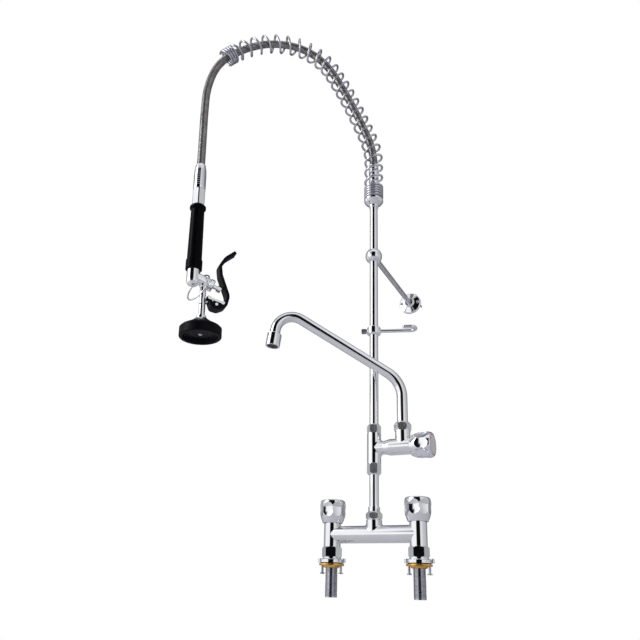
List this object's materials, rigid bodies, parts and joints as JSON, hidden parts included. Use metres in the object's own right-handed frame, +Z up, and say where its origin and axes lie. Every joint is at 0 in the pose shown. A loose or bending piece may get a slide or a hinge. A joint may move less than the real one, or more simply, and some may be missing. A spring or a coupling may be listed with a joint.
{
  "type": "pre rinse faucet",
  "caption": "Deck-mounted pre rinse faucet: fluted knobs on a bridge, tall riser with add-on swing spout, wall bracket and spring-carried hose with a squeeze-lever spray valve.",
  "frame": {"origin": "on the deck surface, midway between the two pillars and under the riser's axis", "axes": "+Z up along the riser; +X from the hot pillar to the cold pillar; -Y to the user, +Y to the wall"},
  "size_m": [0.4279, 0.4708, 1.1846],
  "materials": {
    "chrome": "polished",
    "knob_chrome": "polished",
    "thumb_steel": "knurled",
    "rod_steel": "satin",
    "spring_chrome": "polished",
    "ring_chrome": "polished",
    "thread_steel": "satin",
    "screw_steel": "satin",
    "lock_brass": "satin",
    "valve_brass": "machined",
    "seal_rubber": "matte",
    "bumper_rubber": "satin",
    "grip_black": "satin",
    "lever_black": "satin powder coat",
    "hose_grey": "ribbed",
    "return_spring": "drawn wire",
    "aerator_plastic": "matte",
    "face_plastic": "satin",
    "index_plastic": "gloss"
  },
  "bodies": {
    "base": {"bridge_body": "chrome", "union_nuts": "chrome", "deck_seals": "seal_rubber", "lock_nuts": "lock_brass", "fixing_screws": "screw_steel", "riser_nut": "chrome", "lower_riser": "chrome", "addon_body": "chrome", "addon_lower_nut": "chrome", "addon_upper_nut": "chrome", "upper_riser": "chrome", "spout_nut": "chrome", "bracket_collar": "chrome", "collar_set_screw": "screw_steel", "bracket_rod": "rod_steel", "wall_flange": "chrome", "wall_screws": "screw_steel", "hot_shank": "thread_steel", "cold_shank": "thread_steel", "hot_deck_flange": "chrome", "cold_deck_flange": "chrome", "hot_cartridge": "chrome", "cold_cartridge": "chrome", "spout_cartridge": "chrome"},
    "hot_valve": {"hot_spindle": "valve_brass", "hot_knob": "knob_chrome", "hot_knob_screw": "screw_steel", "hot_index": "index_plastic"},
    "cold_valve": {"cold_spindle": "valve_brass", "cold_knob": "knob_chrome", "cold_knob_screw": "screw_steel", "cold_index": "index_plastic"},
    "spout_valve": {"spout_spindle": "valve_brass", "spout_knob": "knob_chrome", "spout_knob_screw": "screw_steel", "spout_index": "index_plastic"},
    "spout": {"spout_tube": "chrome", "aerator_shell": "chrome", "aerator_insert": "aerator_plastic"},
    "hook": {"finger_hook": "chrome"},
    "thumb_screw": {"hook_thumb_screw": "thumb_steel"},
    "hose_head": {"spring_cup": "chrome", "support_spring": "spring_chrome", "hose_top_ferrule": "chrome", "hose": "hose_grey", "hose_lower_ferrule": "chrome"},
    "handset": {"handle_nut": "chrome", "handle_grip": "grip_black", "valve_body": "chrome", "valve_bonnet": "chrome", "valve_spring": "return_spring", "lever_pin": "chrome", "spray_bell": "chrome", "spray_bumper": "bumper_rubber", "spray_face": "face_plastic", "spray_face_screw": "screw_steel"},
    "lever": {"squeeze_lever": "lever_black", "lever_plates": "chrome"},
    "stem": {"valve_stem": "chrome"},
    "hold_ring": {"hold_ring": "ring_chrome"}
  },
  "joints": [
    {"name": "hot_turn", "type": "hinge", "parent": "base", "child": "hot_valve", "pos_m": [-0.0762, 0, 0.08], "axis": [0, 0, 1], "range_deg": [0, 90]},
    {"name": "cold_turn", "type": "hinge", "parent": "base", "child": "cold_valve", "pos_m": [0.0762, 0, 0.08], "axis": [0, 0, 1], "range_deg": [-90, 0]},
    {"name": "spout_valve_turn", "type": "hinge", "parent": "base", "child": "spout_valve", "pos_m": [0.08, 0, 0.1898], "axis": [1, 0, 0], "range_deg": [0, 90]},
    {"name": "spout_swing", "type": "hinge", "parent": "base", "child": "spout", "pos_m": [0.053, 0, 0.21], "axis": [0, 0, 1], "range_deg": [-10, 150]},
    {"name": "hook_swing", "type": "hinge", "parent": "base", "child": "hook", "pos_m": [0, 0, 0.4128], "axis": [0, 0, 1], "range_deg": [-120, 120]},
    {"name": "thumb_screw_turn", "type": "hinge", "parent": "hook", "child": "thumb_screw", "pos_m": [-0.01913, -0.00585, 0.4128], "axis": [-0.9563, -0.2924, 0], "range_deg": [-360, 0]},
    {"name": "hose_swing", "type": "hinge", "parent": "base", "child": "hose_head", "pos_m": [0, 0, 0.7], "axis": [0, 0, 1], "range_deg": [-30, 60]},
    {"name": "handset_swivel", "type": "hinge", "parent": "hose_head", "child": "handset", "pos_m": [-0.3028, -0.18921, 0.68109], "axis": [-0.0423, -0.0265, 0.9988], "range_deg": [-180, 180]},
    {"name": "lever_squeeze", "type": "hinge", "parent": "handset", "child": "lever", "pos_m": [-0.27326, -0.15944, 0.45485], "axis": [0.766, -0.6427, 0.0154], "range_deg": [0, 14], "stiffness_Nm_per_rad": 4, "springref_deg": -17.19},
    {"name": "stem_push", "type": "slide", "parent": "handset", "child": "stem", "axis": [-0.6173, -0.7285, 0.297], "range_m": [0, 0.0079], "deforming": ["valve_spring"]},
    {"name": "hold_ring_swing", "type": "hinge", "parent": "handset", "child": "hold_ring", "pos_m": [-0.28114, -0.16765, 0.50413], "axis": [-0.766, 0.6427, -0.0154], "range_deg": [-10, 20]}
  ],
  "couplings": [
    {"joint": "stem_push", "follows": "lever_squeeze", "m_per_rad": 0.032}
  ]
}
